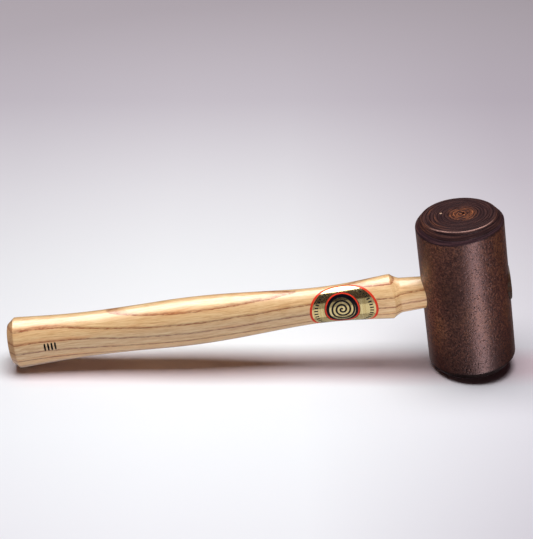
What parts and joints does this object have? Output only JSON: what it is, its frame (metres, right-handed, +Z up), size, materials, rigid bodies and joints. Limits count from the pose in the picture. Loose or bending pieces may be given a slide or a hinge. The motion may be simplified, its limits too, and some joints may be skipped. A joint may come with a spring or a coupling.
{
  "type": "rawhide carving mallet",
  "caption": "Cylindrical mallet head rolled from strips of dark hide on an oval, waisted ash handle, with bevelled rims and an oval foil label.",
  "frame": {"origin": "on the floor, under the middle of the tool's box as it lies at rest on the lower rim of the head and the lower edge of the butt", "axes": "+X from the butt towards the head, +Z up, -Y the side with the label; the head's axis leans back by the rest tilt, about 7.9 degrees from +Z towards -X"},
  "size_m": [0.2924, 0.05, 0.0994],
  "materials": {
    "outer_hide": "semi-gloss, dark brown",
    "middle_hide": "satin, dark purple-brown",
    "core_hide": "satin, orange-brown",
    "pin_brass": "dull",
    "ash": "gloss varnish",
    "wedge_wood": "satin",
    "label_foil": "metallised gold foil, printed red and black"
  },
  "bodies": {
    "root": {"outer_wrap": "outer_hide", "middle_wrap": "middle_hide", "core_upper": "core_hide", "core_lower": "core_hide", "face_pin": "pin_brass", "handle": "ash", "wedge": "wedge_wood", "label": "label_foil"}
  },
  "joints": []
}
